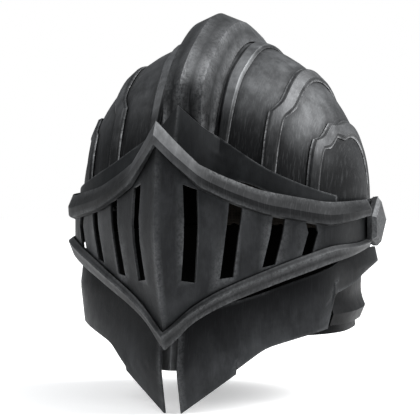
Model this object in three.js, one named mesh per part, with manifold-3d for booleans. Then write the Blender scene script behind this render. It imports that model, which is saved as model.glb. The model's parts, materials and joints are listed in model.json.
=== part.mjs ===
// A knight's close helmet: a crested skull of raised plates and ribs, a wedge-prowed visor with eight sight slots,
// a split chin and a plated neck. Millimetres, +Z up. The face looks along -Y and the wearer's left side is +X.
import * as THREE from 'three';
import { mergeVertices } from 'three/addons/utils/BufferGeometryUtils.js';
import Module from 'manifold-3d';

const wasm = await Module();
wasm.setup();

// ---------------------------------------------------------------- driving dimensions
const PLATE = 2.0;                 // thickness of every sheet-steel plate
const GAP = 0.4;                   // clearance between pieces that lie on each other
const HEAD_REST_Z = 246;           // height of the crown pad's underside above the chin points

// The skull is half an ellipsoid standing on an upright wall.
const SKULL = { halfWidth: 110, front: 107, back: 125, rise: 127, equatorZ: 150, wallFootZ: 102 };

// The visor turns on two pins through the sides of the skull.
const PIVOT = { y: 24, z: 146, pinRadius: 4, boreRadius: 4.4 };

// Places of the skull's ribs as lateral angles in degrees at the brow, with each rib's width at the brow and over the
// crown, and the sideways steps that it makes on its way up: the travel angle where it steps, how far, and over what
// part of its travel.
const RIBS = [
  { name: 'inner', lateral: 14.5, browWidth: 4.6, crownWidth: 6.0, steps: [{ at: 60, shift: 0.9, half: 6 }] },
  { name: 'middle', lateral: 34.1, browWidth: 6.2, crownWidth: 7.0, steps: [{ at: 48, shift: 3.8, half: 5 }] },
  { name: 'outer', lateral: 54.3, browWidth: 6.5, crownWidth: 6.6,
    steps: [{ at: 46, shift: 4, half: 5 }, { at: 68, shift: 4, half: 6 }] },
];
const RIB_HEIGHT = 2.8;            // how far a rib's flat top stands above the plates
const RIB_EDGE = 0.9;              // how far the foot of its sloping sides stands above them
const RIB_BEVEL = 0.22;            // part of a rib's width that each sloping side takes
// Under the brow plate a rib is lower: the part of its height left there, and the part of its length that it takes
// to reach its full height.
const RIB_LOW = { height: 0.66, until: 0.1 };
const RIB_LENGTH = 0.9;            // part of the upright wall behind that the ribs run down
const BACK_TRAVEL = 180;           // travel angle where the dome meets the upright wall behind
const WALL_TRAVEL = 30;            // travel beyond that, down to the foot of the wall

// Half of the visor's plan, from the prow back to the hinge end.
const VISOR_PLAN = [[0, -172], [25, -147.6], [50.5, -122], [76, -91.5], [97, -65], [107.5, -44], [112, -20],
  [113.4, 8], [113.8, 36]];
// Heights of the visor's upper and lower edges against distance along that plan.
const VISOR_TOP = [[0, 224], [17, 208.5], [38, 190.5], [59, 180.5], [90, 169], [150, 157.5], [222, 155], [250, 156]];
const VISOR_FOOT = [[0, 50], [30, 66.5], [64, 83.5], [110, 98.5], [156, 111], [215, 117.5], [250, 118]];
// How far the visor's wall lies behind its widest line at each height.
const VISOR_HOLLOW = [[50, 19], [73, 13.5], [103, 5.5], [137, 0], [150, 0], [176, 2], [224, 5]];
const VISOR_HOLLOW_END = 175;      // distance along the plan where that hollow has faded out
const PROW_BLEND = 50;             // distance along the plan over which the prow's fold turns into the wall
const PROW_STRETCH = 1.4;          // how far the fold moves forwards for each millimetre that its walls move out
// Sections of the two rims from the visor's edge inwards, as [distance from the edge, standoff from the wall].
const UPPER_RIM = [[0, 1.8], [10, 5.6], [17, 5.2], [18.5, 1.8]];
const LOWER_RIM = [[0, 1.8], [10.5, 5.4], [14, 1.8]];
// Both rims end at the hinge, and narrow towards it to these parts of their full width.
const RIM_END = { distance: 214, narrowFrom: 140, upper: 0.74, lower: 0.5 };
// Sight slots: distance along the plan at the top, the waist and the foot, the width, and the heights of each end
// at its inner and outer corners.
const SLOTS = [
  { top: 31, waist: 31, foot: 31.5, width: 12, topZ: [176, 171.5], footZ: [103, 101] },
  { top: 69, waist: 65.5, foot: 63.5, width: 11.5, topZ: [162, 158], footZ: [103, 104] },
  { top: 107.5, waist: 105, foot: 99.5, width: 11.5, topZ: [151.5, 149.5], footZ: [110, 112] },
  { top: 136, waist: 138.5, foot: 133, width: 9.5, topZ: [144, 143.5], footZ: [117.5, 118.5] },
];
const SLOT_WAIST_Z = 135;

// Half of a cheek plate's plan, from the chin gap back to under the hinge end.
const CHEEK_PLAN = [[7, -139], [44, -109.5], [62, -92.5], [80, -71.5], [95.5, -47], [100.5, -24], [106, 4],
  [108.6, 36]];
// Heights of its lower and upper edges against distance along that plan.
const CHEEK_FOOT = [[0, 0], [47.2, 29], [48, 32.5], [72, 47.5], [129, 59.5], [134.5, 86], [160, 90], [190, 100],
  [220, 106.5]];
const CHEEK_TOP = [[0, 74], [72, 90], [129, 106], [152, 111.5], [180, 115], [220, 116]];
// How far the plate stands out from its plan at each height, at the chin and at the jaw.
const CHIN_LEAN = [[0, -14], [35, 0], [48, -3], [74, -8], [118, -16]];
const JAW_LEAN = [[0, -8], [47, 0], [60, 3], [88, 6], [104, 4.4], [118, 1]];
// Behind the jaw the plate's top flares out over the foot of the skull's wall.
const JAW_FLARE = { from: 150, to: 178, lowZ: 96, highZ: 103, out: 1.2 };

// Half of the crest's ridge line in the middle plane, as [y, z], from the brow over the top to the nape.
const CREST_RIDGE = [[-105.5, 214], [-112.5, 234], [-110.5, 250], [-92, 268], [-62, 284.5], [-39, 294], [-14, 297.6],
  [8, 294.5], [58, 279], [86, 261], [109, 233], [124, 200], [131, 166], [129, 128]];
// Its foot as a lateral angle and as travel angles, and the shoulders part-way down its sides: how far apart, and how
// far down from the ridge as a part of its height.
const CREST = { baseLateral: 11.2, shoulderHalf: 15, shoulderDrop: 0.3, startTravel: 24, endTravel: 193 };

// The brow plate's upper edge: its height against the distance from the middle plane.
const BROW_EDGE = [[0, 232.5], [18, 213], [36, 200.5], [60, 183.5], [88, 168], [108, 157.5], [114, 155]];
// How far the brow plate stands off the skull in the middle, at the sides and at its ends, the lateral angle of its
// ends, and the fold in its middle: how far forwards, how wide, how round and how much less at its foot.
const BROW = { stand: 5.2, sideStand: 4.5, endStand: 2.8, end: 67, peak: 30, peakHalf: 27, peakCurve: 1.2,
  peakFall: 0.35 };
// Its depth against the distance from the middle plane: less at the sides, so that it stays clear of the sight slots.
const BROW_DEPTH = [[0, 34], [24, 32], [44, 19], [60, 16], [110, 15]];

// The side of the skull: the headings of its front and rear edges, and the height of its foot against the heading.
const SIDE_PLAN = {
  from: 56.2,
  to: 116.7,
  foot: [[56, 149], [72, 146], [82, 118], [108, 118], [114, SKULL.wallFootZ]],
};

// The boss at the hinge end of the visor: its outline and middle as [y, z], where its back, its side and its face
// lie, how much smaller the face is, and how deep the pin goes in.
const BOSS = { outline: [[2.5, 124], [18, 118], [35, 137], [18, 156], [2.5, 142]], middle: [18, 137], back: 114.6,
  side: 118.4, face: 121.6, faceSize: 0.82, socket: 116.8 };
// On the inside of the skull the pin ends in a washer and a nut.
const FITTINGS = { pinEnd: 97, washerFace: 103.4, washerRadius: 9, washerThickness: 1.2, nutRadius: 7.5,
  nutThickness: 4.8 };

// The throat plate: how far it reaches to each side, its front edge, how it slopes back, and its heights.
const THROAT = { half: 20, front: -134, slope: 0.9, lean: 4, footZ: 33, footDrop: 1.5, topZ: 62 };
// The two neck bands: how far round from the front each starts, its depth there, and its profile from the top down as
// [height, standoff from the skull's wall].
const NAPE = { heading: 68, front: 92, profile: [[122, -3.2], [104, -3.2], [90, -3.4], [79, -4.6], [69, -0.4],
  [60, -4.2]] };
const COLLAR = { heading: 52, front: 84, profile: [[70, -9.4], [62, -8.6], [53, -8]] };
// Under the cheek plates the neck bands lie further in by this much, fading out between two headings.
const NECK_TUCK = { depth: 3.5, from: 98, to: 118 };

// The lining: pads against the skull, each from one heading to another and from one height to another.
const PAD_INSET = 5.5;             // distance of a pad's back from the skull's outer surface
const PADS = [
  { name: 'brow_pad', from: -32, to: 32, footZ: 176, topZ: 206, depth: 14 },
  { name: 'nape_pad', from: 148, to: 212, footZ: 120, topZ: 178, depth: 16 },
  { name: 'temple_pad_left', from: 52, to: 104, footZ: 163, topZ: 203, depth: 14 },
  { name: 'temple_pad_right', from: 256, to: 308, footZ: 163, topZ: 203, depth: 14 },
];
const CROWN_PAD = { topRadius: 44, footRadius: 50, depth: 14, y: 6 };

const SIDES = [['left', 1], ['right', -1]];
const radians = THREE.MathUtils.degToRad;

// ---------------------------------------------------------------- materials
function steel(colour, roughness) {
  return new THREE.MeshStandardMaterial({ color: colour, roughness, metalness: 0.9 });
}
const skullSteel = steel(0x5c5f62, 0.5);
const darkSteel = steel(0x3a3d40, 0.55);
const brightSteel = steel(0x7d8083, 0.42);
const ironFitting = steel(0x45474a, 0.5);
const paddedCloth = new THREE.MeshStandardMaterial({ color: 0x3b3128, roughness: 0.95, metalness: 0 });

const helmet = new THREE.Group();
helmet.position.z = -HEAD_REST_Z;

function addPiece(name, geometry, material) {
  const mesh = new THREE.Mesh(geometry, material);
  mesh.name = name;
  helmet.add(mesh);
}

// ---------------------------------------------------------------- helpers
/** Straight-line value at x from a list of [x, value] pairs in rising order of x. */
function along(pairs, x) {
  const last = pairs.length - 1;
  if (x <= pairs[0][0]) return pairs[0][1];
  if (x >= pairs[last][0]) return pairs[last][1];
  const i = pairs.findIndex(([edge]) => edge > x);
  const [x0, v0] = pairs[i - 1];
  const [x1, v1] = pairs[i];
  return THREE.MathUtils.mapLinear(x, x0, x1, v0, v1);
}

/** A list of count + 1 even steps from start to end. */
function steps(start, end, count) {
  return Array.from({ length: count + 1 }, (_, i) => start + ((end - start) * i) / count);
}

/** A plan curve as a distance-measured line that gives a point and its outward normal. */
function planLine(points) {
  const curve = new THREE.SplineCurve(points.map(([x, y]) => new THREE.Vector2(x, y)));
  const length = curve.getLength();
  return {
    length,
    at(distance) {
      const t = THREE.MathUtils.clamp(distance / length, 0, 1);
      const tangent = curve.getTangentAt(t);
      return { point: curve.getPointAt(t), normal: new THREE.Vector2(tangent.y, -tangent.x) };
    },
  };
}

/** A closed solid between an outer and an inner surface, each a function of u and v over the same grid. */
function slab(outer, inner, us, vs) {
  const positions = [];
  const indices = [];
  const columns = vs.length;
  for (const surface of [outer, inner]) {
    for (const u of us) {
      for (const v of vs) positions.push(...surface(u, v));
    }
  }
  const offset = us.length * columns;
  const quad = (a, b, c, d) => indices.push(a, b, c, a, c, d);
  for (let i = 0; i < us.length - 1; i += 1) {
    for (let j = 0; j < columns - 1; j += 1) {
      const a = i * columns + j;
      quad(a, a + columns, a + columns + 1, a + 1);
      quad(offset + a, offset + a + 1, offset + a + columns + 1, offset + a + columns);
    }
  }
  const wall = (a, b) => quad(a, b, offset + b, offset + a);
  for (let i = 0; i < us.length - 1; i += 1) {
    wall((i + 1) * columns, i * columns);
    wall(i * columns + columns - 1, (i + 1) * columns + columns - 1);
  }
  for (let j = 0; j < columns - 1; j += 1) {
    wall(j, j + 1);
    wall((us.length - 1) * columns + j + 1, (us.length - 1) * columns + j);
  }
  const geometry = new THREE.BufferGeometry();
  geometry.setAttribute('position', new THREE.Float32BufferAttribute(positions, 3));
  geometry.setIndex(indices);
  return facingOut(geometry);
}

function signedVolume(geometry) {
  const p = geometry.attributes.position;
  const index = geometry.index.array;
  const [a, b, c] = [new THREE.Vector3(), new THREE.Vector3(), new THREE.Vector3()];
  let volume = 0;
  for (let i = 0; i < index.length; i += 3) {
    a.fromBufferAttribute(p, index[i]);
    b.fromBufferAttribute(p, index[i + 1]);
    c.fromBufferAttribute(p, index[i + 2]);
    volume += a.dot(b.cross(c)) / 6;
  }
  return volume;
}

function facingOut(geometry) {
  if (signedVolume(geometry) < 0) {
    const index = geometry.index.array;
    for (let i = 0; i < index.length; i += 3) [index[i + 1], index[i + 2]] = [index[i + 2], index[i + 1]];
  }
  return geometry;
}

/** A copy whose triangles share their corners. */
function welded(geometry) {
  const copy = geometry.clone();
  copy.deleteAttribute('normal');
  copy.deleteAttribute('uv');
  return mergeVertices(copy, 1e-4);
}

function solid(geometry) {
  const merged = welded(geometry);
  return new wasm.Manifold(new wasm.Mesh({
    numProp: 3,
    vertProperties: Float32Array.from(merged.attributes.position.array),
    triVerts: Uint32Array.from(merged.index.array),
  }));
}

function geometryOf(manifold) {
  const mesh = manifold.getMesh();
  const geometry = new THREE.BufferGeometry();
  geometry.setAttribute('position', new THREE.BufferAttribute(Float32Array.from(mesh.vertProperties), 3));
  geometry.setIndex(new THREE.BufferAttribute(Uint32Array.from(mesh.triVerts), 1));
  return geometry;
}

function cut(geometry, cutters) {
  return geometryOf(cutters.reduce((body, cutter) => body.subtract(solid(cutter)), solid(geometry)));
}

/** A round bar lying along X from x0 to x1 on the line through (y, z). */
function crossBar(radius, x0, x1, y, z, sides = 24) {
  const bar = new THREE.CylinderGeometry(radius, radius, Math.abs(x1 - x0), sides);
  bar.rotateZ(Math.PI / 2);
  return bar.translate((x0 + x1) / 2, y, z);
}

// ---------------------------------------------------------------- skull
/** A point on the skull: lateral angle from the middle plane, travel angle from the front over the top, standoff. */
function skullPoint(lateral, travel, stand) {
  const side = radians(lateral);
  const x = (SKULL.halfWidth + stand) * Math.sin(side);
  if (travel > BACK_TRAVEL) {
    const fall = (SKULL.equatorZ - SKULL.wallFootZ) * ((travel - BACK_TRAVEL) / WALL_TRAVEL);
    return [x, (SKULL.back + stand) * Math.cos(side), SKULL.equatorZ - fall];
  }
  const turn = radians(travel);
  const depth = travel < 90 ? SKULL.front : SKULL.back;
  return [
    x,
    -(depth + stand) * Math.cos(side) * Math.cos(turn),
    SKULL.equatorZ + (SKULL.rise + stand) * Math.cos(side) * Math.sin(turn),
  ];
}

/** Height of the brow plate's upper edge at a distance x from the middle plane. */
function browEdge(x) {
  return along(BROW_EDGE, Math.abs(x));
}

/** Travel angle at which the skull surface reaches a height, at a lateral angle. */
function travelAtHeight(lateral, height) {
  const reach = SKULL.rise * Math.cos(radians(lateral));
  return THREE.MathUtils.radToDeg(Math.asin(THREE.MathUtils.clamp((height - SKULL.equatorZ) / reach, 0, 1)));
}

/** Lateral angle of a rib's centre line where its travel angle is given. */
function ribLateral(rib, travel) {
  const shifted = (sum, step) => (
    sum + step.shift * THREE.MathUtils.smoothstep(travel, step.at - step.half, step.at + step.half));
  return rib.steps.reduce(shifted, rib.lateral);
}

function ribWidth(rib, travel) {
  return THREE.MathUtils.lerp(rib.browWidth, rib.crownWidth, THREE.MathUtils.smoothstep(travel, 15, 60));
}

const BROW_TUCK = 12;              // how far the plates and ribs run down behind the brow plate

/** Travel angle of the front end of a plate or rib. */
function frontTravel(lateral) {
  return travelAtHeight(lateral, browEdge(SKULL.halfWidth * Math.sin(radians(lateral))) - BROW_TUCK);
}

/** Parts of a plate's length that lie closer together through the stretch where ribs step sideways. */
const TRAVEL_STEPS = [0, 0.07, ...steps(0.12, 0.24, 5), ...steps(0.3, 0.84, 10), 0.92, 1];

/** A plate of the skull between two lateral lines, each a function of travel. */
function skullPlate(fromLateral, toLateral, across) {
  const end = BACK_TRAVEL + WALL_TRAVEL;
  const place = (u, v, stand) => {
    const start = frontTravel(THREE.MathUtils.lerp(fromLateral(20), toLateral(20), u));
    const travel = THREE.MathUtils.lerp(start, end, v);
    return skullPoint(THREE.MathUtils.lerp(fromLateral(travel), toLateral(travel), u), travel, stand);
  };
  return slab((u, v) => place(u, v, 0), (u, v) => place(u, v, -PLATE), steps(0, 1, across), TRAVEL_STEPS);
}

const SEAM = 0.25;                 // half of the open seam between two skull plates, in degrees of lateral angle
const [ribInner, ribMiddle, ribOuter] = RIBS;

function buildSkullPlates() {
  const line = (rib, side, shift) => (travel) => side * (ribLateral(rib, travel) + shift);
  addPiece('skull_centre_plate', skullPlate(line(ribInner, -1, -SEAM), line(ribInner, 1, -SEAM), 8), skullSteel);
  for (const [name, side] of SIDES) {
    addPiece(`skull_plate_upper_${name}`,
      skullPlate(line(ribInner, side, SEAM), line(ribMiddle, side, -SEAM), 5), skullSteel);
    addPiece(`skull_plate_lower_${name}`,
      skullPlate(line(ribMiddle, side, SEAM), line(ribOuter, side, -SEAM), 5), skullSteel);
  }
}

/** A rib is a flat-topped strap with sloping sides that covers the seam between two plates. */
function skullRib(rib, side) {
  const end = BACK_TRAVEL + WALL_TRAVEL * RIB_LENGTH;
  const start = frontTravel(rib.lateral);
  const place = (u, v, stand) => {
    const travel = THREE.MathUtils.lerp(start, end, v);
    const lateral = ribLateral(rib, travel) + (u - 0.5) * ribWidth(rib, travel);
    return skullPoint(side * lateral, travel, stand);
  };
  const section = [[0, RIB_EDGE], [RIB_BEVEL, RIB_HEIGHT], [1 - RIB_BEVEL, RIB_HEIGHT], [1, RIB_EDGE]];
  const height = (u, v) => along(section, u)
    * THREE.MathUtils.lerp(RIB_LOW.height, 1, THREE.MathUtils.smoothstep(v, 0, RIB_LOW.until));
  const across = section.map(([u]) => u);
  return slab((u, v) => place(u, v, height(u, v)), (u, v) => place(u, v, GAP), across, TRAVEL_STEPS);
}

/** How far a point at a heading from the front climbs above the equator, in radians, to meet the outer rib. */
function climbToOuterRib(heading) {
  const around = radians(heading);
  let low = 0;
  let high = Math.PI / 2;
  for (let i = 0; i < 30; i += 1) {
    const climb = (low + high) / 2;
    const lateral = Math.asin(Math.sin(around) * Math.cos(climb));
    const travel = Math.atan2(Math.sin(climb), Math.cos(climb) * Math.cos(around));
    const edge = ribLateral(ribOuter, THREE.MathUtils.radToDeg(travel)) + 2 * SEAM;
    if (THREE.MathUtils.radToDeg(lateral) > edge) low = climb;
    else high = climb;
  }
  return low;
}

/** The side of the skull, from the foot of its wall up to the outer rib, with the bore for the visor's pin. */
function skullSidePlate(side) {
  const place = (heading, v, stand) => {
    const around = radians(heading);
    const depth = heading < 90 ? SKULL.front : SKULL.back;
    const wall = SKULL.equatorZ - along(SIDE_PLAN.foot, heading);
    const distance = v * (wall + SKULL.rise * climbToOuterRib(heading));
    const climb = Math.max(0, distance - wall) / SKULL.rise;
    const onWall = distance < wall;
    return [
      side * (SKULL.halfWidth + stand) * Math.sin(around) * Math.cos(climb),
      -(depth + stand) * Math.cos(around) * Math.cos(climb),
      SKULL.equatorZ + (onWall ? distance - wall : (SKULL.rise + stand) * Math.sin(climb)),
    ];
  };
  const headings = [...steps(SIDE_PLAN.from, 70, 4), 76, 82, 86, 90, ...steps(94, SIDE_PLAN.to, 6)];
  const body = slab((u, v) => place(u, v, 0), (u, v) => place(u, v, -PLATE), headings, steps(0, 1, 10));
  return cut(body, [crossBar(PIVOT.boreRadius, side * 90, side * 125, PIVOT.y, PIVOT.z)]);
}

/** The crest: a hollow ridge of five-line section over the middle of the skull. */
function buildCrest() {
  const ridge = new THREE.SplineCurve(CREST_RIDGE.map(([y, z]) => new THREE.Vector2(y, z)));
  const place = (u, v, thickness) => {
    const top = ridge.getPoint(v);
    const travel = THREE.MathUtils.lerp(CREST.startTravel, CREST.endTravel, v);
    const [, footY, footZ] = skullPoint(0, travel, 2 * GAP);
    const sink = thickness / Math.max(thickness, Math.hypot(top.x - footY, top.y - footZ));
    const spine = (share) => [
      THREE.MathUtils.lerp(top.x, footY, share),
      THREE.MathUtils.lerp(top.y, footZ, share),
    ];
    const side = Math.sign(u);
    if (u === 0) return [0, ...spine(sink * 1.5)];
    if (Math.abs(u) === 1) {
      return [side * (CREST.shoulderHalf - thickness), ...spine(CREST.shoulderDrop + sink * 0.3)];
    }
    const [x, y, z] = skullPoint(side * CREST.baseLateral, travel, 2 * GAP);
    return [x - side * thickness, y, z];
  };
  const geometry = slab((u, v) => place(u, v, 0), (u, v) => place(u, v, PLATE), [-2, -1, 0, 1, 2], steps(0, 1, 32));
  addPiece('crest', geometry, skullSteel);
}

/** The brow plate: a dark band that crosses the forehead over the ends of the plates and rises to a centre point. */
function browStand(lateral) {
  const side = THREE.MathUtils.smoothstep(Math.abs(lateral), 32, 50);
  const end = THREE.MathUtils.smoothstep(Math.abs(lateral), 58, BROW.end);
  return THREE.MathUtils.lerp(THREE.MathUtils.lerp(BROW.stand, BROW.sideStand, side), BROW.endStand, end);
}

function buildBrowPlate() {
  const place = (lateral, v, stand) => {
    const x = SKULL.halfWidth * Math.sin(radians(lateral));
    const z = browEdge(x) - v * along(BROW_DEPTH, Math.abs(x));
    const height = Math.max(0, z - SKULL.equatorZ) / SKULL.rise;
    const ring = Math.sqrt(Math.max(0.02, 1 - height * height - Math.sin(radians(lateral)) ** 2));
    const fold = Math.max(0, 1 - Math.abs(x) / BROW.peakHalf) ** BROW.peakCurve;
    const peak = BROW.peak * fold * (1 - BROW.peakFall * v);
    const out = stand + browStand(lateral);
    return [x * (1 + out / SKULL.halfWidth), -(SKULL.front + out) * ring - peak, z];
  };
  const halfStations = [0, 4.5, 9, 14, ...steps(20, BROW.end, 7)];
  const stations = [...halfStations.slice(1).map((lateral) => -lateral).reverse(), ...halfStations];
  addPiece('brow_plate', slab((u, v) => place(u, v, 0), (u, v) => place(u, v, -PLATE), stations, steps(0, 1, 5)),
    darkSteel);
}

// ---------------------------------------------------------------- visor
const visorLine = planLine(VISOR_PLAN);
const VISOR_STEPS = [0, 6, 12, 17, 25, 31, 38, 48, 59, 74, 90, 105, 120, 135, 150, 160, 170, 182, 194, 208, 222, 236,
  visorLine.length];
const MIRRORED_STEPS = [...VISOR_STEPS.slice(1).map((d) => -d).reverse(), ...VISOR_STEPS];

/** A point on the visor's wall at a signed distance along its plan, a height and a standoff. */
function visorPoint(distance, z, stand) {
  const reach = Math.abs(distance);
  const { point, normal } = visorLine.at(reach);
  const fade = 1 - THREE.MathUtils.smoothstep(reach, 40, VISOR_HOLLOW_END);
  const out = stand - along(VISOR_HOLLOW, z) * fade;
  // At the prow the two halves meet, so there the wall moves straight forwards instead of along its normal.
  const turned = THREE.MathUtils.smoothstep(reach, 0, PROW_BLEND);
  const forwards = THREE.MathUtils.lerp(-PROW_STRETCH, normal.y, turned);
  return [Math.sign(distance) * (point.x + normal.x * turned * out), point.y + forwards * out, z];
}

const visorTop = (distance) => along(VISOR_TOP, Math.abs(distance));
const visorFoot = (distance) => along(VISOR_FOOT, Math.abs(distance));

const CUTTER = { length: 40, behind: 26 };   // a slot cutter's length, and how much of it lies behind the wall

/** The cutter for one sight slot: a prism with a bent outline, pushed through the wall along its normal. */
function slotCutter(slot, side) {
  const half = slot.width / 2;
  const middle = visorLine.at(slot.waist);
  const tangent = new THREE.Vector2(-middle.normal.y, middle.normal.x);
  const [topInner, topOuter] = slot.topZ;
  const [footInner, footOuter] = slot.footZ;
  const outline = [
    [slot.top - half, topInner], [slot.top + half, topOuter], [slot.waist + half, SLOT_WAIST_Z],
    [slot.foot + half, footOuter], [slot.foot - half, footInner], [slot.waist - half, SLOT_WAIST_Z],
  ];
  const shape = new THREE.Shape(outline.map(([distance, z]) => new THREE.Vector2(distance - slot.waist, z)));
  const prism = new THREE.ExtrudeGeometry(shape, { depth: CUTTER.length, bevelEnabled: false });
  const frame = new THREE.Matrix4().makeBasis(
    new THREE.Vector3(tangent.x, tangent.y, 0),
    new THREE.Vector3(0, 0, 1),
    new THREE.Vector3(middle.normal.x, middle.normal.y, 0),
  );
  prism.translate(0, 0, -CUTTER.behind);
  prism.applyMatrix4(frame);
  prism.translate(middle.point.x, middle.point.y, 0);
  prism.scale(side, 1, 1);
  return facingOut(welded(prism));
}

const RIM_OVERHANG = 1.2;          // how far the rims reach past the edges of the plate

function buildVisorPlate() {
  const place = (u, v, stand) => {
    const z = THREE.MathUtils.lerp(visorFoot(u) + RIM_OVERHANG, visorTop(u) - RIM_OVERHANG, v);
    return visorPoint(u, z, stand);
  };
  const body = slab((u, v) => place(u, v, 0), (u, v) => place(u, v, -PLATE), MIRRORED_STEPS, steps(0, 1, 8));
  const slots = SLOTS.flatMap((slot) => SIDES.map(([, side]) => slotCutter(slot, side)));
  const bores = SIDES.map(([, side]) => crossBar(PIVOT.boreRadius, side * 100, side * 130, PIVOT.y, PIVOT.z));
  addPiece('visor_plate', cut(body, [...slots, ...bores]), darkSteel);
}

/** A rim along an edge of the visor: a bevelled bar that lies on the plate and narrows towards the hinge. */
function visorRim(edge, direction, section, endWidth) {
  const between = MIRRORED_STEPS.filter((u) => Math.abs(u) < RIM_END.distance);
  const us = [-RIM_END.distance, ...between, RIM_END.distance];
  const vs = section.map((_, i) => i);
  const place = (u, v, lay) => {
    const [fall, stand] = section[v];
    const narrowing = THREE.MathUtils.smoothstep(Math.abs(u), RIM_END.narrowFrom, RIM_END.distance);
    const width = THREE.MathUtils.lerp(1, endWidth, narrowing);
    return visorPoint(u, edge(u) + direction * fall * width, lay ?? stand);
  };
  return slab((u, v) => place(u, v), (u, v) => place(u, v, 3 * GAP), us, vs);
}

function buildVisorRims() {
  addPiece('visor_upper_rim', visorRim(visorTop, -1, UPPER_RIM, RIM_END.upper), brightSteel);
  addPiece('visor_lower_rim', visorRim(visorFoot, 1, LOWER_RIM, RIM_END.lower), brightSteel);
}

/** The hinge end of the visor: a five-sided bevelled boss between the ends of the two rims, over the pin. */
function buildVisorBoss(name, side) {
  const [middleY, middleZ] = BOSS.middle;
  const ring = (size, x) => BOSS.outline.map(([y, z]) => [
    x,
    THREE.MathUtils.lerp(middleY, y, size),
    THREE.MathUtils.lerp(middleZ, z, size),
  ]);
  const layers = [ring(1, BOSS.back), ring(1, BOSS.side), ring(BOSS.faceSize, BOSS.face)];
  const positions = layers.flat(2);
  const count = BOSS.outline.length;
  const indices = [];
  for (let k = 0; k < 2; k += 1) {
    for (let i = 0; i < count; i += 1) {
      const j = (i + 1) % count;
      const [a, b, c, d] = [k * count + i, k * count + j, (k + 1) * count + j, (k + 1) * count + i];
      indices.push(a, b, c, a, c, d);
    }
  }
  for (let i = 1; i < count - 1; i += 1) {
    indices.push(0, i + 1, i);
    indices.push(2 * count, 2 * count + i, 2 * count + i + 1);
  }
  const boss = new THREE.BufferGeometry();
  boss.setAttribute('position', new THREE.Float32BufferAttribute(positions, 3));
  boss.setIndex(indices);
  boss.scale(side, 1, 1);
  const socket = crossBar(PIVOT.boreRadius, side * (BOSS.back - 5), side * BOSS.socket, PIVOT.y, PIVOT.z);
  addPiece(`visor_hinge_boss_${name}`, cut(facingOut(boss), [socket]), brightSteel);
}

/** The pin that the visor turns on, with the washer and nut that hold it inside the skull. */
function buildPivot(name, side) {
  const bar = (radius, from, to, sides) => crossBar(radius, side * from, side * to, PIVOT.y, PIVOT.z, sides);
  const bore = bar(PIVOT.boreRadius, FITTINGS.pinEnd - 10, BOSS.back);
  const washerBack = FITTINGS.washerFace - FITTINGS.washerThickness;
  const nutFace = washerBack - GAP;
  const washer = bar(FITTINGS.washerRadius, washerBack, FITTINGS.washerFace);
  const nut = bar(FITTINGS.nutRadius, nutFace - FITTINGS.nutThickness, nutFace, 6);
  const pin = bar(PIVOT.pinRadius, FITTINGS.pinEnd - 2 * GAP, BOSS.socket - GAP);
  addPiece(`visor_pivot_pin_${name}`, pin, ironFitting);
  addPiece(`visor_pivot_washer_${name}`, cut(washer, [bore]), ironFitting);
  addPiece(`visor_pivot_nut_${name}`, cut(nut, [bore]), ironFitting);
}

// ---------------------------------------------------------------- chin and neck
const cheekLine = planLine(CHEEK_PLAN);
const CHEEK_STEPS = [...steps(0, 36, 3), 47.2, ...steps(48, 108, 5), 119, 129, 134.5, 143,
  ...steps(152, cheekLine.length, 6)];

function buildCheekPlate(name, side) {
  const place = (u, v, stand) => {
    const z = THREE.MathUtils.lerp(along(CHEEK_FOOT, u), along(CHEEK_TOP, u), v);
    const { point, normal } = cheekLine.at(u);
    const jaw = THREE.MathUtils.smoothstep(u, 50, 125);
    const flare = JAW_FLARE.out * THREE.MathUtils.smoothstep(u, JAW_FLARE.from, JAW_FLARE.to)
      * THREE.MathUtils.smoothstep(z, JAW_FLARE.lowZ, JAW_FLARE.highZ);
    const out = stand + flare + THREE.MathUtils.lerp(along(CHIN_LEAN, z), along(JAW_LEAN, z), jaw);
    const sideways = THREE.MathUtils.lerp(stand, out, jaw);
    return [side * (point.x + normal.x * sideways), point.y + normal.y * out, z];
  };
  const body = slab((u, v) => place(u, v, 0), (u, v) => place(u, v, -PLATE), CHEEK_STEPS, steps(0, 1, 10));
  addPiece(`cheek_plate_${name}`, body, darkSteel);
}

/** The throat plate closes the gap between the two cheek plates from behind, folded along its middle. */
function buildThroatPlate() {
  const place = (u, v, stand) => {
    const x = u * THROAT.half;
    const y = THROAT.front + Math.abs(x) * THROAT.slope + v * THROAT.lean;
    return [x, y - stand, THREE.MathUtils.lerp(THROAT.footZ - Math.abs(u) * THROAT.footDrop, THROAT.topZ, v)];
  };
  addPiece('throat_plate', slab((u, v) => place(u, v, 0), (u, v) => place(u, v, -PLATE), steps(-1, 1, 4),
    steps(0, 1, 4)), darkSteel);
}

/** A C-shaped band of the neck, open in front. */
function neckBand({ heading, front, profile }) {
  const place = (u, v, stand) => {
    const angle = radians(u);
    const [z, out] = profile[v];
    const depth = Math.cos(angle) > 0 ? front : SKULL.back;
    const tucked = 1 - THREE.MathUtils.smoothstep(Math.min(u, 360 - u), NECK_TUCK.from, NECK_TUCK.to);
    const reach = stand + out - NECK_TUCK.depth * tucked;
    return [(SKULL.halfWidth + reach) * Math.sin(angle), -(depth + reach) * Math.cos(angle), z];
  };
  const vs = profile.map((_, i) => i);
  return slab((u, v) => place(u, v, 0), (u, v) => place(u, v, -PLATE), steps(heading, 360 - heading, 32), vs);
}

function buildNeck() {
  addPiece('nape_plate', neckBand(NAPE), darkSteel);
  addPiece('neck_collar', neckBand(COLLAR), darkSteel);
}

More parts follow.
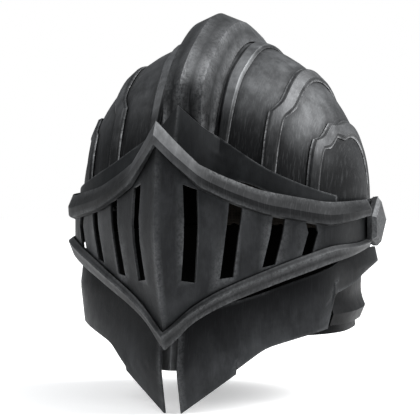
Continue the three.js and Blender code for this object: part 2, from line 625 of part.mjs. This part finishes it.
// ---------------------------------------------------------------- lining
/** A soft pad inside the skull: a block that follows the skull between two headings. */
function wallPad({ from, to, footZ, topZ, depth }) {
  const place = (u, v, stand) => {
    const angle = radians(u);
    const z = THREE.MathUtils.lerp(footZ, topZ, v);
    const climb = Math.max(0, z - SKULL.equatorZ) / (SKULL.rise - 4);
    const ring = Math.sqrt(1 - climb * climb);
    const front = Math.cos(angle) > 0;
    return [
      (SKULL.halfWidth + stand) * ring * Math.sin(angle),
      -((front ? SKULL.front : SKULL.back) + stand) * ring * Math.cos(angle),
      z,
    ];
  };
  return slab((u, v) => place(u, v, -PAD_INSET), (u, v) => place(u, v, -PAD_INSET - depth), steps(from, to, 10),
    steps(0, 1, 5));
}

function buildLining() {
  for (const pad of PADS) addPiece(pad.name, wallPad(pad), paddedCloth);
  const crown = new THREE.CylinderGeometry(CROWN_PAD.topRadius, CROWN_PAD.footRadius, CROWN_PAD.depth, 36);
  crown.rotateX(Math.PI / 2);
  crown.translate(0, CROWN_PAD.y, HEAD_REST_Z + CROWN_PAD.depth / 2);
  addPiece('crown_pad', crown, paddedCloth);
}

// ---------------------------------------------------------------- assembly
buildCrest();
buildSkullPlates();
for (const [name, side] of SIDES) {
  addPiece(`skull_side_plate_${name}`, skullSidePlate(side), skullSteel);
  for (const rib of RIBS) addPiece(`skull_rib_${rib.name}_${name}`, skullRib(rib, side), brightSteel);
}
buildBrowPlate();
buildVisorPlate();
buildVisorRims();
for (const [name, side] of SIDES) {
  buildVisorBoss(name, side);
  buildPivot(name, side);
  buildCheekPlate(name, side);
}
buildThroatPlate();
buildNeck();
buildLining();

export default helmet;
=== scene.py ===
"""Looks of a knight's close helmet: worn blackened steel plates, a lifting visor and a quilted lining.

Every length is in metres, in the CAD frame: +Z up, the face looks along -Y, the wearer's left is +X.
Each steel piece is a finer copy of its CAD node, and a quilted pad stands in the place of each plain CAD pad.
"""
import json
import math

import bmesh
import bpy
import numpy as np
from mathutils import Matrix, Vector
from mathutils.bvhtree import BVHTree
from mathutils.kdtree import KDTree


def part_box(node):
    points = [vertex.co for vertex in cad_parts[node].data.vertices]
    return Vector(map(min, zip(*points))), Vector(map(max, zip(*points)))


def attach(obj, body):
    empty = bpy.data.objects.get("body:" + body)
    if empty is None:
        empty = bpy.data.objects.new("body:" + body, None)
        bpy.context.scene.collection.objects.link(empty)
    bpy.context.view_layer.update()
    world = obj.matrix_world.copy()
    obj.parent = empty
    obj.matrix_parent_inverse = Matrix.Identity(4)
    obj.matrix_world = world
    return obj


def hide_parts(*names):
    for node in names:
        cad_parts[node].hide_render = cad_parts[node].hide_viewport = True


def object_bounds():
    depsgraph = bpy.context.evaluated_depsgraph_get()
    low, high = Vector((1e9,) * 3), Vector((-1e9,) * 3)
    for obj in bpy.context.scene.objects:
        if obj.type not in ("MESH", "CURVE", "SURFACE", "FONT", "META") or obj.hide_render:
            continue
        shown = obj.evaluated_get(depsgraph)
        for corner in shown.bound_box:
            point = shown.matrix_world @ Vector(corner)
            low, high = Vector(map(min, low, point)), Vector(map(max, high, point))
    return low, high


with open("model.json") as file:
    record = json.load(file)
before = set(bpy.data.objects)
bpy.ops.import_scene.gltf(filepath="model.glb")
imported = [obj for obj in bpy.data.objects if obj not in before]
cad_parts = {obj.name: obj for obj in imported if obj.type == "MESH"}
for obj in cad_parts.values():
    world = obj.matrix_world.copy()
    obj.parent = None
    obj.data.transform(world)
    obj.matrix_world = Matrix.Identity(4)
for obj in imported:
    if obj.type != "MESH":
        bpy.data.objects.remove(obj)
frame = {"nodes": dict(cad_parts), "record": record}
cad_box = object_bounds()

MM = 0.001
SIDES = ("left", "right")

# The camera looks at the helmet from a little to the wearer's left, almost level, through a long lens.
VIEW_AZIMUTH = 18.0                # degrees from straight in front
VIEW_ELEVATION = 4.8
VIEW_DISTANCE = 4.0
VIEW_WIDTH = 0.3255                # width of what the camera sees at the helmet
AIM_LEFT = 0.0113                  # how far the camera's aim lies to its left of the crown pad
AIM_BELOW = 0.1016                 # and how far below it

ROOM_BRIGHTNESS = 1.0              # how bright the white room looks
ROOM_LIGHT = 0.34                  # and how strongly it lights the helmet
ROOM_TINT = (0.93, 0.96, 1, 1)

FLOOR_RADIUS = 1.6
FLOOR_GAP = 0.2 * MM               # between the floor and the lowest point of the helmet
FLOOR_GLOW = 0.4                   # keeps the floor as white as the room around it

BODY_OF = {}
for body_name, members in frame["record"]["behaviour"]["bodies"].items():
    for member in members:
        BODY_OF[member] = body_name


# ---------------------------------------------------------------- camera and light
def direction_from(azimuth, elevation):
    """The way from the helmet to a place at an azimuth and elevation in degrees, 0 in front of the visor."""
    azimuth = math.radians(azimuth)
    elevation = math.radians(elevation)
    level = math.cos(elevation)
    return Vector((math.sin(azimuth) * level, -math.cos(azimuth) * level, math.sin(elevation)))


def look_along(obj, direction):
    obj.rotation_mode = "QUATERNION"
    obj.rotation_quaternion = direction.to_track_quat("-Z", "Y")


def make_camera():
    azimuth = math.radians(VIEW_AZIMUTH)
    right = Vector((math.cos(azimuth), math.sin(azimuth), 0))
    back = direction_from(VIEW_AZIMUTH, VIEW_ELEVATION)
    up = back.cross(right)
    data = bpy.data.cameras.new("camera")
    data.lens = data.sensor_width * VIEW_DISTANCE / VIEW_WIDTH
    data.clip_start = 0.1
    data.clip_end = 50
    camera = bpy.data.objects.new("camera", data)
    camera.location = right * -AIM_LEFT + up * -AIM_BELOW + back * VIEW_DISTANCE
    look_along(camera, -back)
    bpy.context.scene.collection.objects.link(camera)
    bpy.context.scene.camera = camera


def area_light(name, azimuth, elevation, distance, size, power):
    """A square soft light that faces the helmet."""
    back = direction_from(azimuth, elevation)
    data = bpy.data.lights.new(name, "AREA")
    data.size = size
    data.energy = power
    light = bpy.data.objects.new(name, data)
    light.location = Vector((0, 0, -AIM_BELOW)) + back * distance
    look_along(light, -back)
    bpy.context.scene.collection.objects.link(light)


def make_world():
    """An even white room. Its light is weaker than it looks, so that the steel keeps its dark tones."""
    world = bpy.data.worlds.new("studio")
    world.use_nodes = True
    tree = world.node_tree
    tree.nodes.clear()
    seen = tree.nodes.new("ShaderNodeBackground")
    seen.inputs["Color"].default_value = (1, 1, 1, 1)
    seen.inputs["Strength"].default_value = ROOM_BRIGHTNESS
    lit = tree.nodes.new("ShaderNodeBackground")
    lit.inputs["Color"].default_value = ROOM_TINT
    lit.inputs["Strength"].default_value = ROOM_LIGHT
    rays = tree.nodes.new("ShaderNodeLightPath")
    mix = tree.nodes.new("ShaderNodeMixShader")
    out = tree.nodes.new("ShaderNodeOutputWorld")
    tree.links.new(rays.outputs["Is Camera Ray"], mix.inputs["Fac"])
    tree.links.new(lit.outputs[0], mix.inputs[1])
    tree.links.new(seen.outputs[0], mix.inputs[2])
    tree.links.new(mix.outputs[0], out.inputs["Surface"])
    bpy.context.scene.world = world


# ---------------------------------------------------------------- material helpers
class Shader:
    """A small wrapper that builds one procedural material on a Principled shader."""

    def __init__(self, name, roughness, metallic):
        self.material = bpy.data.materials.new(name)
        self.material.use_nodes = True
        self.tree = self.material.node_tree
        self.principled = self.tree.nodes["Principled BSDF"]
        self.principled.inputs["Roughness"].default_value = roughness
        self.principled.inputs["Metallic"].default_value = metallic
        self.place = self.node("ShaderNodeTexCoord").outputs["Object"]

    def node(self, kind, **settings):
        made = self.tree.nodes.new(kind)
        for key, value in settings.items():
            setattr(made, key, value)
        return made

    def join(self, source, socket):
        self.tree.links.new(source, socket)

    def feed(self, socket, value):
        """Links a socket, or sets it when the value is a constant."""
        if isinstance(value, bpy.types.NodeSocket):
            self.join(value, socket)
        else:
            socket.default_value = value

    def mapped(self, scale, turn):
        """The place on the piece, stretched and turned, for noise that is drawn out into lines."""
        mapping = self.node("ShaderNodeMapping")
        mapping.inputs["Scale"].default_value = scale
        mapping.inputs["Rotation"].default_value = turn
        self.join(self.place, mapping.inputs["Vector"])
        return mapping.outputs["Vector"]

    def noise(self, scale, detail=4.0, rough=0.55, twist=0.0, vector=None):
        """Noise with a value of about 0.5 on average. Its scale is in waves to the metre."""
        made = self.node("ShaderNodeTexNoise")
        made.inputs["Scale"].default_value = scale
        made.inputs["Detail"].default_value = detail
        made.inputs["Roughness"].default_value = rough
        made.inputs["Distortion"].default_value = twist
        self.join(vector or self.place, made.inputs["Vector"])
        return made.outputs["Fac"]

    def math(self, operation, a, b, clamp=False):
        made = self.node("ShaderNodeMath", operation=operation, use_clamp=clamp)
        self.feed(made.inputs[0], a)
        self.feed(made.inputs[1], b)
        return made.outputs[0]

    def product(self, *values):
        """Multiplies values, and keeps the result between 0 and 1."""
        total = values[0]
        for value in values[1:-1]:
            total = self.math("MULTIPLY", total, value)
        return self.math("MULTIPLY", total, values[-1], clamp=True)

    def blend(self, *parts):
        """Adds up values, each given with its weight."""
        total = None
        for value, weight in parts:
            share = self.math("MULTIPLY", value, weight)
            total = share if total is None else self.math("ADD", total, share)
        return total

    def span(self, value, low, high, to_low=0.0, to_high=1.0):
        """Maps low..high on to to_low..to_high with a smooth clamp."""
        made = self.node("ShaderNodeMapRange", interpolation_type="SMOOTHSTEP")
        self.feed(made.inputs["Value"], value)
        made.inputs["From Min"].default_value = low
        made.inputs["From Max"].default_value = high
        made.inputs["To Min"].default_value = to_low
        made.inputs["To Max"].default_value = to_high
        return made.outputs["Result"]

    def ramp(self, value, low, low_colour, high, high_colour):
        """Colours a value: low_colour up to low, high_colour from high on."""
        made = self.node("ShaderNodeValToRGB")
        first, last = made.color_ramp.elements
        first.position = low
        first.color = (*low_colour, 1)
        last.position = high
        last.color = (*high_colour, 1)
        self.join(value, made.inputs["Fac"])
        return made.outputs["Color"]

    def mix(self, factor, a, b, blend="MIX"):
        made = self.node("ShaderNodeMix", data_type="RGBA", blend_type=blend)
        self.feed(made.inputs[0], factor)
        self.feed(made.inputs[6], a if isinstance(a, bpy.types.NodeSocket) else (*a, 1))
        self.feed(made.inputs[7], b if isinstance(b, bpy.types.NodeSocket) else (*b, 1))
        return made.outputs[2]

    def attribute(self, name):
        return self.node("ShaderNodeAttribute", attribute_name=name).outputs["Fac"]

    def upwards(self):
        """How far the surface faces up, from -1 to 1, on the piece as it was made."""
        split = self.node("ShaderNodeSeparateXYZ")
        self.join(self.node("ShaderNodeTexCoord").outputs["Normal"], split.inputs[0])
        return split.outputs["Z"]

    def colour(self, value):
        self.feed(self.principled.inputs["Base Color"], value)

    def roughness(self, value):
        self.feed(self.principled.inputs["Roughness"], value)

    def specular(self, value):
        self.feed(self.principled.inputs["Specular IOR Level"], value)

    def bump(self, height, distance, strength):
        made = self.node("ShaderNodeBump")
        made.inputs["Strength"].default_value = strength
        made.inputs["Distance"].default_value = distance
        self.join(height, made.inputs["Height"])
        self.join(made.outputs["Normal"], self.principled.inputs["Normal"])


# ---------------------------------------------------------------- materials
NOISE_LOW = 0.38                   # most of a noise texture's values lie between these two
NOISE_HIGH = 0.62
BLACKENED = (0.0035, 0.0038, 0.0042)
# Black painted on the inside of the helmet as shade.
PAINTED_INSIDE_SHADE = (0.002, 0.002, 0.002)
STEELS = {}


def steel(name, light, worn, rough, wear):
    """Blackened steel: blotched and finely brushed, painted lighter where it faces up, worn bright along its
    edges.

    light and worn are the colours of its lightest parts and of its edges, and wear is how much of them shows.
    It reads the three attributes that paint() gives a piece.
    """
    shader = Shader(name, roughness=rough, metallic=0.8)
    blotches = shader.noise(19, detail=5, rough=0.6, twist=0.5)
    clouds = shader.noise(11, detail=5, rough=0.62, twist=1.2)
    grain = shader.noise(150, detail=5, rough=0.7)
    strokes = shader.noise(1, detail=4, rough=0.6, vector=shader.mapped((150, 90, 60), (0.35, 0.9, 0.6)))
    hairs = shader.noise(1, detail=2, vector=shader.mapped((1500, 160, 90), (0.7, 0.1, 0.4)))

    # The body: a pattern of tones with painted light and shade, and a few fine scratches on top.
    pattern = shader.blend((blotches, 0.5), (strokes, 0.3), (grain, 0.2))
    pattern = shader.span(pattern, NOISE_LOW, NOISE_HIGH, 0.42, 0.98)
    # Painted light: faces that look up are painted lighter, as if lit from above; the "shade" attribute adds
    # each piece's painted light and shade.
    painted_top_light = shader.span(shader.upwards(), -0.55, 0.85, 0.55, 1.2)
    drift = shader.span(clouds, NOISE_LOW, NOISE_HIGH, 0.8, 1.2)
    tone = shader.product(pattern, painted_top_light, drift, shader.attribute("shade"))
    body = shader.mix(tone, BLACKENED, light)
    body = shader.mix(shader.span(hairs, 0.5, 0.75, 0.0, 0.1), body, light, "ADD")

    # Outer edges are rubbed bare in ragged patches. Inside the helmet the steel is painted black as shade and
    # doesn't shine.
    ragged = shader.span(shader.noise(420, detail=5, rough=0.7), 0.34, 0.62, 0.25, 1.0)
    patchy = shader.span(shader.noise(28, detail=3), 0.38, 0.6, 0.35, 1.0)
    bare = shader.product(shader.attribute("edge"), ragged, patchy, wear)
    inside = shader.attribute("inside")
    shader.colour(shader.mix(inside, shader.mix(bare, body, worn), PAINTED_INSIDE_SHADE))
    shader.specular(shader.span(inside, 0, 1, 0.25, 0.0))

    # The grain roughens the steel a little, and bare edges are smoother.
    dull = shader.math("ADD", shader.math("MULTIPLY", grain, 0.3), rough - 0.12)
    shader.roughness(shader.math("SUBTRACT", dull, shader.math("MULTIPLY", bare, 0.12)))
    shader.bump(shader.blend((hairs, 0.25), (grain, 0.5), (blotches, 1.4)), 0.4 * MM, 0.5)
    return shader.material


def make_steels():
    STEELS["skull"] = steel("skull_steel", (0.190, 0.195, 0.201), (0.240, 0.245, 0.252), rough=0.48, wear=0.6)
    STEELS["rib"] = steel("rib_steel", (0.210, 0.214, 0.220), (0.360, 0.365, 0.372), rough=0.48, wear=1.0)
    STEELS["dark"] = steel("dark_steel", (0.022, 0.0235, 0.025), (0.140, 0.144, 0.148), rough=0.55, wear=0.9)
    STEELS["visor"] = steel("visor_steel", (0.04, 0.042, 0.0445), (0.100, 0.103, 0.107), rough=0.52, wear=0.6)
    STEELS["rim"] = steel("rim_steel", (0.130, 0.133, 0.137), (0.160, 0.164, 0.169), rough=0.55, wear=0.45)
    STEELS["iron"] = steel("iron_fittings", (0.04, 0.041, 0.043), (0.15, 0.15, 0.15), rough=0.55, wear=0.6)


def quilted_linen():
    """Dark linen with a fine weave and stains."""
    shader = Shader("quilted_linen", roughness=0.92, metallic=0.0)
    threads = []
    for axis in "XZ":
        wave = shader.node("ShaderNodeTexWave", wave_type="BANDS", bands_direction=axis)
        wave.inputs["Scale"].default_value = 150
        wave.inputs["Distortion"].default_value = 1.2
        wave.inputs["Detail"].default_value = 2
        shader.join(shader.place, wave.inputs["Vector"])
        threads.append(wave.outputs["Fac"])
    weave = shader.math("MAXIMUM", *threads)
    stains = shader.noise(22, detail=4, rough=0.6)
    body = shader.ramp(stains, 0.3, (0.005, 0.0045, 0.004), 0.7, (0.013, 0.011, 0.009))
    shader.colour(shader.mix(shader.math("MULTIPLY", weave, 0.35), body, (0.024, 0.020, 0.016)))
    shader.specular(0.05)
    shader.bump(weave, 0.15 * MM, 0.5)
    return shader.material


def pale_floor():
    """White, with a little glow of its own, so that only the helmet's shadow shows on it."""
    shader = Shader("pale_floor", roughness=0.9, metallic=0.0)
    shader.colour(shader.ramp(shader.noise(40, detail=3), 0.0, (0.93, 0.93, 0.93), 1.0, (0.97, 0.97, 0.97)))
    shader.principled.inputs["Emission Color"].default_value = (1, 1, 1, 1)
    shader.principled.inputs["Emission Strength"].default_value = FLOOR_GLOW
    return shader.material


def make_floor():
    bm = bmesh.new()
    bmesh.ops.create_circle(bm, cap_ends=True, segments=96, radius=FLOOR_RADIUS)
    mesh = bpy.data.meshes.new("floor")
    bm.to_mesh(mesh)
    bm.free()
    mesh.materials.append(pale_floor())
    floor = bpy.data.objects.new("floor", mesh)
    floor.location = (0, 0, cad_box[0].z - FLOOR_GAP)
    bpy.context.scene.collection.objects.link(floor)


# ---------------------------------------------------------------- steel pieces made finer from the CAD shapes
WELD_DISTANCE = 0.005 * MM
FLAT_ANGLE = 25                    # triangles that meet at less than this are joined into four-sided faces
SKEW_ANGLE = 70                    # unless the face would be more out of square than this
LENGTHWISE = 0.35                  # an edge is lengthwise when less than this share of it runs sideways
SHARP_ANGLE = 18                   # edges sharper than this get a hard break in the shading
BEVEL_ANGLE_MIN = 8
NO_WEAR = 179                      # an edge angle that no edge reaches
# Finding the inside of the helmet, which is painted black as shade:
INSIDE_CENTRE_BELOW = 96 * MM        # height of the middle of the head's space below the crown pad
INSIDE_FACING = -0.25                # a surface is inside when its normal's outward part is less than this


def apply_modifiers(obj):
    """Makes what the modifiers show the mesh itself."""
    shown = obj.evaluated_get(bpy.context.evaluated_depsgraph_get())
    mesh = bpy.data.meshes.new_from_object(shown)
    obj.modifiers.clear()
    obj.data = mesh


def add_modifier(obj, kind, **settings):
    made = obj.modifiers.new(kind.lower(), kind)
    for key, value in settings.items():
        setattr(made, key, value)
    return made


def mark_creases(mesh, crease_angle, lengthwise_angle):
    """Joins the CAD's triangles into larger faces, and keeps the sharper edges from being rounded."""
    bm = bmesh.new()
    bm.from_mesh(mesh)
    bmesh.ops.remove_doubles(bm, verts=bm.verts, dist=WELD_DISTANCE)
    bmesh.ops.join_triangles(bm, faces=bm.faces, angle_face_threshold=math.radians(FLAT_ANGLE),
                             angle_shape_threshold=math.radians(SKEW_ANGLE))
    crease = bm.edges.layers.float.new("crease_edge")
    for edge in bm.edges:
        along = edge.verts[1].co - edge.verts[0].co
        lengthwise = abs(along.x) < LENGTHWISE * along.length
        limit = lengthwise_angle if lengthwise else crease_angle
        edge[crease] = 1.0 if edge.calc_face_angle(0) > math.radians(limit) else 0.0
    bm.to_mesh(mesh)
    bm.free()


def break_shading_at_creases(mesh):
    mesh.shade_smooth()
    mesh.set_sharp_from_angle(angle=math.radians(SHARP_ANGLE))
    creases = mesh.attributes.get("crease_edge")
    if creases is None:
        return
    for edge in mesh.edges:
        if creases.data[edge.index].value > 0.9:
            edge.use_edge_sharp = True


def refined(node, crease_angle, levels=1, chamfer=0.3 * MM, lengthwise_angle=None):
    """A finer copy of a CAD node: its facets are rounded, its sharp edges stay sharp and get a small chamfer.

    levels is how many times each face is split, 0 for none. Edges that run in an upright fore-and-aft plane
    can have a crease angle of their own.
    """
    piece = bpy.data.objects.new(f"{node}_finish", frame["nodes"][node].data.copy())
    bpy.context.scene.collection.objects.link(piece)
    mark_creases(piece.data, crease_angle, lengthwise_angle or crease_angle)
    if levels:
        add_modifier(piece, "SUBSURF", levels=levels, render_levels=levels)
    if chamfer:
        bevel_angle = math.radians(max(crease_angle * 0.8, BEVEL_ANGLE_MIN))
        add_modifier(piece, "BEVEL", width=chamfer, segments=2, limit_method="ANGLE", angle_limit=bevel_angle)
    bpy.context.view_layer.update()
    apply_modifiers(piece)
    break_shading_at_creases(piece.data)
    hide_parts(node)
    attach(piece, BODY_OF[node])
    return piece


def points_along(edges):
    """A search tree with the ends and the middle of each edge."""
    tree = KDTree(max(1, len(edges) * 3))
    count = 0
    for edge in edges:
        start = edge.verts[0].co
        end = edge.verts[1].co
        for share in (0.0, 0.5, 1.0):
            tree.insert(start.lerp(end, share), count)
            count += 1
    tree.balance()
    return tree


def paint(piece, kind, shade, edge_angle=NO_WEAR, edge_reach=1.0 * MM):
    """Gives a piece its kind of steel, and the three attributes that the steel reads.

    "edge" is 1 on outer edges sharper than edge_angle and falls to 0 at edge_reach from them, "shade" is what
    the shade function gives for each point, with its painted light and shade, and "inside" is 1 on the side
    that faces the head, which is painted black as shade.
    """
    mesh = piece.data
    mesh.materials.clear()
    mesh.materials.append(STEELS[kind])
    bm = bmesh.new()
    bm.from_mesh(mesh)
    worn = [edge for edge in bm.edges if edge.calc_face_angle_signed(0) > math.radians(edge_angle)]
    tree = points_along(worn)
    edges = np.zeros(len(bm.verts), np.float32)
    shades = np.zeros(len(bm.verts), np.float32)
    insides = np.zeros(len(bm.verts), np.float32)
    for vertex in bm.verts:
        at = vertex.co
        outwards = Vector((at.x, at.y, max(0.0, at.z + INSIDE_CENTRE_BELOW))).normalized()
        # Faces that look in towards the head get painted black as shade.
        insides[vertex.index] = 1.0 if vertex.normal.dot(outwards) < INSIDE_FACING else 0.0
        if worn:
            distance = tree.find(at)[2]
            edges[vertex.index] = max(0.0, 1 - distance / edge_reach)
        shades[vertex.index] = shade(at)
    bm.free()
    for name, values in (("edge", edges), ("shade", shades), ("inside", insides)):
        layer = mesh.attributes.new(name, "FLOAT", "POINT")
        layer.data.foreach_set("value", values)


# ---------------------------------------------------------------- painted light and shade: how light each piece is from point to point
# In the shade functions p is a point on a piece, in the CAD frame, with the visor closed.
def smooth(value, low, high):
    """Rises smoothly from 0 at low to 1 at high."""
    share = min(1.0, max(0.0, (value - low) / (high - low)))
    return share * share * (3 - 2 * share)


def distance_to(nodes):
    """A function that gives the distance from a point to the nearest surface of some CAD nodes."""
    corners = []
    faces = []
    for node in nodes:
        mesh = frame["nodes"][node].data
        first = len(corners)
        corners += [v.co.copy() for v in mesh.vertices]
        faces += [[first + i for i in polygon.vertices] for polygon in mesh.polygons]
    tree = BVHTree.FromPolygons(corners, faces)
    return lambda point: tree.find_nearest(point)[3]


def both_sides(*kinds):
    return [f"skull_{kind}_{side}" for side in SIDES for kind in kinds]


from_brow = distance_to(["brow_plate"])
from_lower_rim = distance_to(["visor_lower_rim"])
from_ribs = distance_to(both_sides("rib_inner", "rib_middle", "rib_outer"))
from_plates = distance_to(["skull_centre_plate", *both_sides("plate_upper", "plate_lower", "side_plate")])
SKULL_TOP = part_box("skull_centre_plate")[1].z
BROW_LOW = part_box("brow_plate")[0].z
VISOR_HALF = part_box("visor_plate")[1].x


def even(level):
    """The same shade all over."""
    return lambda p: level


def skull_shade(p):
    """Painted shade: dark behind the brow plate and low down; painted light over the crown."""
    near = 1 - smooth(from_brow(p), 4 * MM, 52 * MM)
    climb = smooth(p.z, BROW_LOW, SKULL_TOP)
    return (0.05 + 0.5 * climb) * (1 - 0.9 * near)


def crest_shade(p):
    """The skull's painted shade, darker, most of all on the wearer's right."""
    return skull_shade(p) * (0.55 if p.x > 0 else 0.5)


def plate_shade(level):
    """The skull's painted shade, with more painted shade in the creases along the ribs."""
    return lambda p: level * skull_shade(p) * (0.4 + 0.6 * smooth(from_ribs(p), 1 * MM, 5 * MM))


def rib_shade(level):
    """Painted shade, a little lighter than the plates, with the sloping sides painted dark towards their
    feet.
    """
    return lambda p: (0.1 + level * skull_shade(p)) * (0.1 + 0.9 * smooth(from_plates(p), 1.2 * MM, 2.7 * MM))


def upper_rim_shade(p):
    """A painted highlight at the point in the middle, painted shade to the sides."""
    return 1.0 - 0.89 * smooth(abs(p.x), 4 * MM, 40 * MM)


def visor_shade(p):
    """Painted shade: even over the front, darker at the two ends."""
    return 0.88 - 0.5 * smooth(abs(p.x), 0.72 * VISOR_HALF, 0.95 * VISOR_HALF)


def cheek_shade(p):
    """Painted shadow of the visor: almost black under it, lighter away from it."""
    return 0.05 + 1.5 * smooth(from_lower_rim(p), 6 * MM, 60 * MM)


# ---------------------------------------------------------------- the steel pieces
def make_crest_and_centre():
    crest = refined("crest", crease_angle=30, lengthwise_angle=5, chamfer=0.4 * MM)
    paint(crest, "skull", crest_shade, edge_angle=14, edge_reach=1.6 * MM)
    centre = refined("skull_centre_plate", crease_angle=40)
    paint(centre, "skull", plate_shade(1.9))


def make_skull_side(side):
    """The plates and ribs of one side. The inner rib is as dark as the plates, the other two are brighter."""
    for kind in ("upper", "lower"):
        plate = refined(f"skull_plate_{kind}_{side}", crease_angle=40)
        paint(plate, "skull", plate_shade(1.0))
    side_plate = refined(f"skull_side_plate_{side}", crease_angle=40, levels=0, chamfer=0)
    paint(side_plate, "skull", plate_shade(0.8))
    inner = refined(f"skull_rib_inner_{side}", crease_angle=19)
    paint(inner, "skull", rib_shade(1.25), edge_angle=25)
    for row in ("middle", "outer"):
        rib = refined(f"skull_rib_{row}_{side}", crease_angle=19)
        paint(rib, "rib", rib_shade(1.05), edge_angle=25, edge_reach=1.6 * MM)


def make_hinge(side):
    boss = refined(f"visor_hinge_boss_{side}", crease_angle=15, levels=0)
    paint(boss, "rim", even(0.36), edge_angle=12, edge_reach=0.9 * MM)
    for kind in ("pin", "washer", "nut"):
        fitting = refined(f"visor_pivot_{kind}_{side}", crease_angle=30, levels=0, chamfer=0.2 * MM)
        paint(fitting, "iron", even(0.8), edge_angle=25)


def make_cheek(side):
    cheek = refined(f"cheek_plate_{side}", crease_angle=30, chamfer=0.4 * MM)
    paint(cheek, "visor", cheek_shade, edge_angle=40, edge_reach=2.4 * MM)


def make_brow_and_visor():
    brow = refined("brow_plate", crease_angle=24, levels=2, chamfer=0.5 * MM)
    paint(brow, "dark", even(1.1), edge_angle=30, edge_reach=1.2 * MM)
    visor = refined("visor_plate", crease_angle=24, levels=0, chamfer=0)
    paint(visor, "visor", visor_shade, edge_angle=40)
    upper_rim = refined("visor_upper_rim", crease_angle=12)
    paint(upper_rim, "rim", upper_rim_shade, edge_angle=14, edge_reach=1.2 * MM)
    lower_rim = refined("visor_lower_rim", crease_angle=12)
    paint(lower_rim, "rim", even(0.26), edge_angle=14)


def make_throat_and_neck():
    throat = refined("throat_plate", crease_angle=24)
    paint(throat, "skull", even(1.0), edge_angle=40, edge_reach=1.5 * MM)
    for node in ("nape_plate", "neck_collar"):
        band = refined(node, crease_angle=40, chamfer=0.4 * MM)
        paint(band, "dark", even(0.0), edge_angle=50, edge_reach=1.5 * MM)


def make_steel_pieces():
    make_crest_and_centre()
    for side in SIDES:
        make_skull_side(side)
        make_hinge(side)
        make_cheek(side)
    make_brow_and_visor()
    make_throat_and_neck()


# ---------------------------------------------------------------- lining
PADS = ("brow_pad", "nape_pad", "crown_pad", "temple_pad_left", "temple_pad_right")
PAD_MESH = 4 * MM                  # the grid that a pad's skin is made on
PAD_SHRINK = 2.0 * MM              # a pad starts this much smaller than its space, then swells
PAD_PRESSURE = 4
SWELL_FRAMES = 20
SWELL_LIMIT = 3.2 * MM             # no point moves further than this as it swells
QUILT_PITCH = 15 * MM              # distance between two sewn channels
CHANNEL_DEPTH = 1.8 * MM
CHANNEL_HALF = 2.2 * MM
HEAD_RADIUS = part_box("nape_plate")[1].x


def swell(pad):
    """Lets a pad swell as cloth under a little inner pressure, and keeps the shape it reaches."""
    start = [vertex.co.copy() for vertex in pad.data.vertices]
    cloth = add_modifier(pad, "CLOTH")
    cloth.settings.use_pressure = True
    cloth.settings.uniform_pressure_force = PAD_PRESSURE
    cloth.settings.effector_weights.gravity = 0
    for step in range(1, SWELL_FRAMES + 1):
        bpy.context.scene.frame_set(step)
    apply_modifiers(pad)
    for vertex, origin in zip(pad.data.vertices, start):
        move = vertex.co - origin
        if move.length > SWELL_LIMIT:
            vertex.co = origin + move * (SWELL_LIMIT / move.length)
    bpy.context.scene.frame_set(1)


def around_the_head(p):
    """A point's two lengths across the quilting: round the head, and up."""
    return math.atan2(p.x, -p.y) * HEAD_RADIUS, p.z


def over_the_crown(p):
    """The same for the crown pad, which is quilted in diamonds."""
    return p.x + p.y, p.x - p.y


def sew_channels(pad, lengths_across):
    """Presses sewn channels into a pad, along both directions of its quilting."""
    vertices = pad.data.vertices
    moves = []
    for vertex in vertices:
        lengths = lengths_across(vertex.co)
        nearest = min(abs((length / QUILT_PITCH) % 1 - 0.5) for length in lengths) * QUILT_PITCH
        groove = math.exp(-(nearest / CHANNEL_HALF) ** 2)
        moves.append(vertex.normal * (-CHANNEL_DEPTH * groove))
    for vertex, move in zip(vertices, moves):
        vertex.co += move


def make_pad(node, material):
    pad = bpy.data.objects.new(f"{node}_quilt", frame["nodes"][node].data.copy())
    bpy.context.scene.collection.objects.link(pad)
    add_modifier(pad, "REMESH", mode="VOXEL", voxel_size=PAD_MESH)
    add_modifier(pad, "SMOOTH", factor=0.5, iterations=6)
    add_modifier(pad, "DISPLACE", strength=-PAD_SHRINK, mid_level=0)
    apply_modifiers(pad)
    swell(pad)
    add_modifier(pad, "SUBSURF", levels=1, render_levels=1)
    apply_modifiers(pad)
    sew_channels(pad, over_the_crown if node == "crown_pad" else around_the_head)
    pad.data.shade_smooth()
    pad.data.materials.clear()
    pad.data.materials.append(material)
    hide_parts(node)
    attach(pad, BODY_OF[node])


def make_lining():
    material = quilted_linen()
    for node in PADS:
        make_pad(node, material)


# ---------------------------------------------------------------- build
make_camera()
make_world()
make_floor()
area_light("key", azimuth=112, elevation=38, distance=2.2, size=1.3, power=72)
area_light("fill", azimuth=-50, elevation=45, distance=2.5, size=1.6, power=26)
area_light("top", azimuth=60, elevation=76, distance=2.0, size=1.4, power=10)
make_steels()
make_steel_pieces()
make_lining()
bpy.context.scene.view_settings.view_transform = "Standard"
